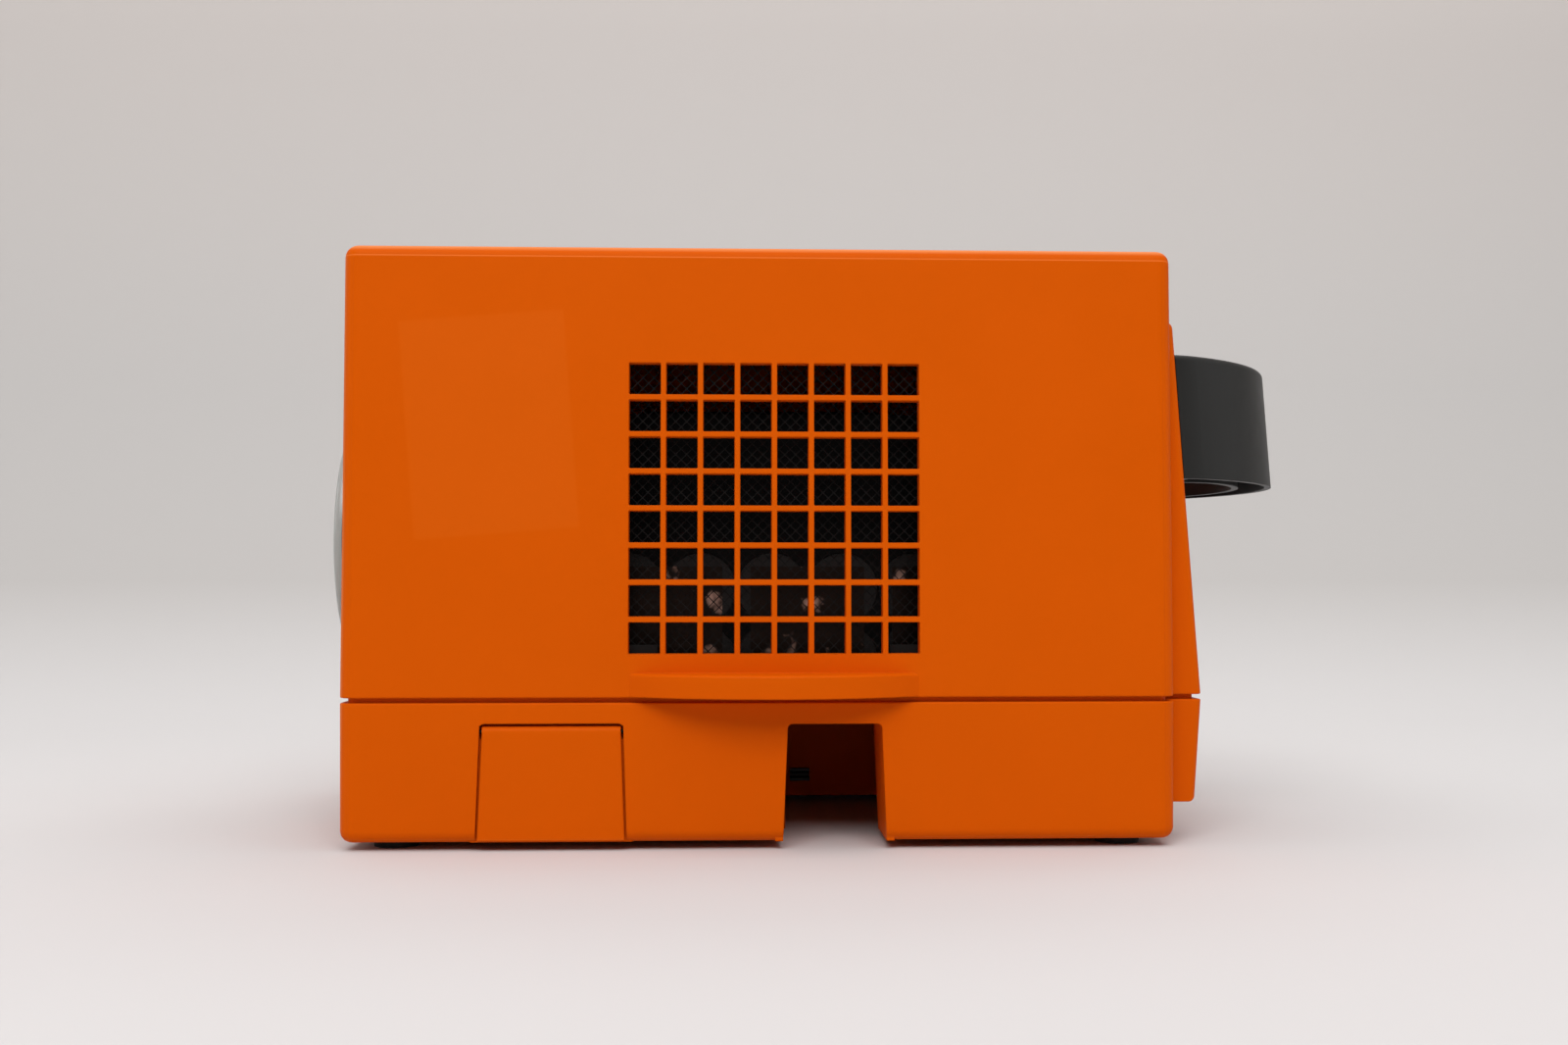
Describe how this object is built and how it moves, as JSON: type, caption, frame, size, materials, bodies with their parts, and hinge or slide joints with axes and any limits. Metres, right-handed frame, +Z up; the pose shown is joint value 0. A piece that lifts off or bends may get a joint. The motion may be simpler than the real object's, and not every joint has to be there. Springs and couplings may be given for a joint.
{
  "type": "portable power station",
  "caption": "Box-shaped portable power station with a bail handle and controls on a sloping nose, side grilles, an end lamp and a cord bay.",
  "frame": {"origin": "on the floor under the middle of the whole length and width", "axes": "+X towards the nose with the controls and the handle, +Y towards the far long side, +Z up"},
  "size_m": [0.3828, 0.234, 0.2165],
  "materials": {
    "orange_shell": "fine matte texture",
    "foot_rubber": "matte",
    "screw_steel": "zinc plated",
    "handle_plastic": "satin moulded",
    "panel_plastic": "fine matte",
    "circuit_board": "solder mask",
    "dark_board": "black solder mask",
    "black_trim": "satin",
    "rocker_plastic": "polished",
    "outlet_plastic": "satin",
    "display_pane": "tinted, polished",
    "display_body": "liquid crystal",
    "button_plastic": "satin",
    "port_steel": "nickel plated",
    "lid_rubber": "matte",
    "pin_steel": "bright",
    "knob_plastic": "satin",
    "bezel_plastic": "satin",
    "lens_plastic": "frosted",
    "reflector_metal": "polished",
    "lamp_board_white": "white solder mask",
    "grille_frame": "moulded",
    "grille_mesh": "moulded net",
    "fan_plastic": "moulded",
    "inner_plastic": "moulded",
    "cell_metal": "sleeved",
    "strip_nickel": "bright",
    "core_iron": "ferrite",
    "coil_copper": "taped winding",
    "capacitor_sleeve": "sleeved",
    "sink_aluminium": "extruded",
    "reset_plastic": "satin",
    "lead_jacket": "matte",
    "battery_wire": "silicone"
  },
  "bodies": {
    "housing": {"upper_shell": "orange_shell", "lower_shell": "orange_shell", "rubber_feet": "foot_rubber", "case_screws": "screw_steel", "carry_handle": "handle_plastic", "handle_screws": "screw_steel", "front_panel": "panel_plastic", "panel_board": "circuit_board", "rocker_frame": "black_trim", "ac_outlet": "outlet_plastic", "display_window": "display_pane", "display_module": "display_body", "usb_a_ports": "port_steel", "usb_c_port": "port_steel", "dc_socket": "black_trim", "lid_pin": "pin_steel", "dimmer_base": "black_trim", "lamp_bezel": "bezel_plastic", "lamp_lens": "lens_plastic", "lamp_reflector": "reflector_metal", "lamp_board": "lamp_board_white", "mesh_frame_near": "grille_frame", "mesh_frame_far": "grille_frame", "grille_mesh_near": "grille_mesh", "grille_mesh_far": "grille_mesh", "fan_frame": "fan_plastic", "battery_tray": "inner_plastic", "battery_cells": "cell_metal", "cell_holder_near": "inner_plastic", "cell_holder_middle": "inner_plastic", "cell_holder_far": "inner_plastic", "bus_strips": "strip_nickel", "board_spacers": "inner_plastic", "inverter_board": "circuit_board", "bms_board": "dark_board", "transformer_core": "core_iron", "transformer_coil": "coil_copper", "power_capacitors": "capacitor_sleeve", "heat_sink": "sink_aluminium", "door_pin": "pin_steel", "service_panel": "black_trim", "charge_jack": "black_trim", "breaker_body": "black_trim", "mains_inlet": "black_trim", "cord_clip": "black_trim", "mains_lead": "lead_jacket", "battery_leads": "battery_wire"},
    "service_door": {"service_door": "orange_shell"},
    "breaker_button": {"breaker_button": "reset_plastic"},
    "fan_rotor": {"fan_rotor": "fan_plastic"},
    "main_rocker": {"main_rocker": "rocker_plastic"},
    "ac_button": {"ac_button": "button_plastic"},
    "dc_button": {"dc_button": "button_plastic"},
    "lamp_button": {"lamp_button": "button_plastic"},
    "dc_socket_lid": {"dc_socket_lid": "lid_rubber"},
    "dimmer_knob": {"dimmer_knob": "knob_plastic"}
  },
  "joints": [
    {"name": "service_door_hinge", "type": "hinge", "parent": "housing", "child": "service_door", "pos_m": [-0.09673, -0.098, 0.0422], "axis": [-1, 0, 0], "range_deg": [0, 88]},
    {"name": "breaker_press", "type": "slide", "parent": "housing", "child": "breaker_button", "axis": [0, 1, 0], "range_m": [0, 0.002], "stiffness_N_per_m": 400},
    {"name": "fan_spin", "type": "hinge", "parent": "housing", "child": "fan_rotor", "pos_m": [-0.01743, 0.084, 0.1219], "axis": [0, 1, 0], "continuous": true},
    {"name": "rocker_tilt", "type": "hinge", "parent": "housing", "child": "main_rocker", "pos_m": [0.13706, -0.062, 0.09393], "axis": [0, 1, 0], "range_deg": [0, 16]},
    {"name": "ac_button_press", "type": "slide", "parent": "housing", "child": "ac_button", "axis": [-0.9977, 0, -0.068], "range_m": [0, 0.0012], "stiffness_N_per_m": 400},
    {"name": "dc_button_press", "type": "slide", "parent": "housing", "child": "dc_button", "axis": [-0.9977, 0, -0.068], "range_m": [0, 0.0012], "stiffness_N_per_m": 400},
    {"name": "lamp_button_press", "type": "slide", "parent": "housing", "child": "lamp_button", "axis": [-0.9977, 0, -0.068], "range_m": [0, 0.0012], "stiffness_N_per_m": 400},
    {"name": "socket_lid_hinge", "type": "hinge", "parent": "housing", "child": "dc_socket_lid", "pos_m": [0.14033, 0.058, 0.12242], "axis": [0, -1, 0], "range_deg": [0, 95]},
    {"name": "dimmer_turn", "type": "hinge", "parent": "housing", "child": "dimmer_knob", "pos_m": [0.13935, 0.058, 0.07504], "axis": [-0.9977, 0, -0.068], "range_deg": [0, 270]}
  ]
}
